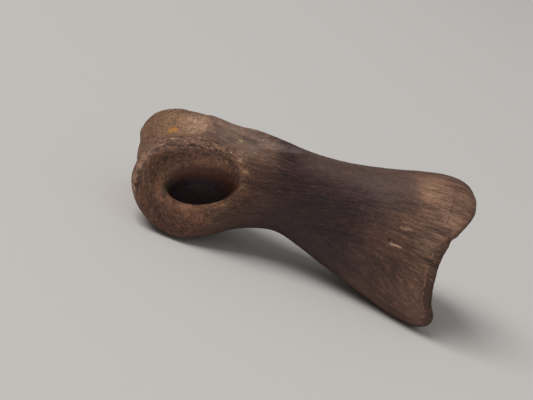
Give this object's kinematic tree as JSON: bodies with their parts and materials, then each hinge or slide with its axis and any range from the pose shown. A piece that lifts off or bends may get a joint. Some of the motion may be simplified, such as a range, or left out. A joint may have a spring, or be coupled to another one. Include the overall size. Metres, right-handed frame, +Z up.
{
  "type": "fossil dinosaur toe bone",
  "caption": "Fossil toe bone of a meat-eating dinosaur, with a grooved pulley joint at one end and a shallow cupped joint face at the other.",
  "frame": {"origin": "on the plane that the bone rests on, under the middle of its box", "axes": "+X along the bone from the pulley joint to the cupped joint face, +Y across it, +Z up from the resting side"},
  "size_m": [0.0704, 0.0272, 0.0308],
  "materials": {
    "fossil_bone": "satin"
  },
  "bodies": {
    "root": {"toe_bone": "fossil_bone"}
  },
  "joints": []
}
